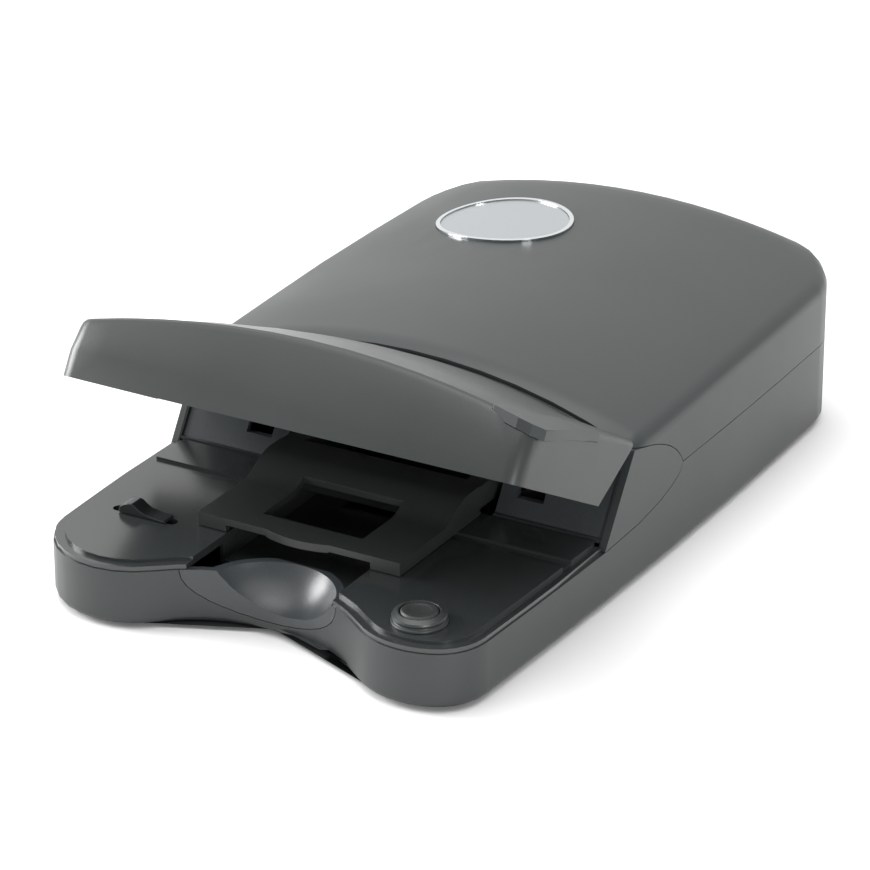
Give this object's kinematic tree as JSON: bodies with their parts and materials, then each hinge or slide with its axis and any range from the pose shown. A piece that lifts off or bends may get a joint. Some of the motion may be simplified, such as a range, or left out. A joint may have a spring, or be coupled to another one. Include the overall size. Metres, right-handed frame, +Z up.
{
  "type": "film scanner",
  "caption": "Low desktop scanner for strips of film: crowned case, clamshell lid standing open, film carriage on a lobed front deck.",
  "frame": {"origin": "middle of the footprint, on the surface that the scanner stands on", "axes": "+Z up, -Y the front with the film slot, +X the right-hand side seen from the front"},
  "size_m": [0.173, 0.286, 0.0942],
  "materials": {
    "case_shell": "satin moulded",
    "deck_plastic": "semi-gloss black",
    "scoop_plastic": "satin",
    "black_plastic": "fine matt",
    "white_plastic": "matt white",
    "steel": "bright turned",
    "sheet_steel": "zinc plated",
    "bronze": "sintered",
    "motor_can": "plated can",
    "board": "glass-fibre board with green resist",
    "chip": "moulded epoxy",
    "clear_glass": "polished",
    "lamp_glass": "phosphor-lined",
    "mirror_glass": "front surface",
    "chrome_trim": "plated",
    "silver_plate": "satin silver",
    "rubber": "matt"
  },
  "bodies": {
    "case": {"base_case": "case_shell", "top_cover": "case_shell", "front_deck": "deck_plastic", "finger_scoop": "scoop_plastic", "film_tray": "black_plastic", "left_cheek": "case_shell", "right_cheek": "case_shell", "bay_frame": "scoop_plastic", "hinge_pins": "steel", "guide_rods": "steel", "screw_bearings": "bronze", "stepper_motor": "motor_can", "chassis": "sheet_steel", "lamp_housing": "white_plastic", "lamp_tube": "lamp_glass", "lamp_caps": "black_plastic", "inverter_board": "board", "fold_mirror": "mirror_glass", "mirror_bracket": "black_plastic", "lens_holder": "black_plastic", "lens_barrel": "black_plastic", "lens_glass": "clear_glass", "sensor_board": "board", "sensor_chip": "chip", "main_board": "board", "board_chips": "chip", "usb_socket": "steel", "power_jack": "black_plastic", "switch_bezel": "black_plastic", "button_ring": "scoop_plastic", "button_board": "board", "button_switch": "chip", "badge_rim": "chrome_trim", "badge_plate": "silver_plate", "rubber_feet": "rubber", "case_screws": "steel", "chassis_screws": "steel"},
    "lid": {"front_lid": "case_shell", "lid_tab": "case_shell"},
    "carriage": {"film_carriage": "deck_plastic", "carriage_bushes": "bronze", "drive_nut": "bronze"},
    "screw": {"lead_screw": "steel"},
    "lever": {"slide_lever": "black_plastic", "lever_clip": "steel"},
    "button": {"scan_button": "black_plastic"},
    "rocker": {"power_switch": "black_plastic"}
  },
  "joints": [
    {"name": "lid_hinge", "type": "hinge", "parent": "case", "child": "lid", "pos_m": [0, -0.0237, 0.0394], "axis": [1, 0, 0], "range_deg": [0, 28.5]},
    {"name": "carriage_slide", "type": "slide", "parent": "case", "child": "carriage", "axis": [0, 1, 0], "range_m": [0, 0.07]},
    {"name": "screw_spin", "type": "hinge", "parent": "case", "child": "screw", "pos_m": [0.056, -0.03, 0.03], "axis": [0, 1, 0], "continuous": true},
    {"name": "lever_slide", "type": "slide", "parent": "case", "child": "lever", "axis": [1, 0, 0], "range_m": [0, 0.0085]},
    {"name": "button_press", "type": "slide", "parent": "case", "child": "button", "axis": [0, 0, -1], "range_m": [0, 0.0012], "stiffness_N_per_m": 300, "springref_m": -0.0006},
    {"name": "rocker_tilt", "type": "hinge", "parent": "case", "child": "rocker", "pos_m": [0.03, 0.1352, 0.015], "axis": [1, 0, 0], "range_deg": [-16, 0]}
  ],
  "couplings": [
    {"joint": "screw_spin", "follows": "carriage_slide", "rad_per_m": -785.4}
  ]
}
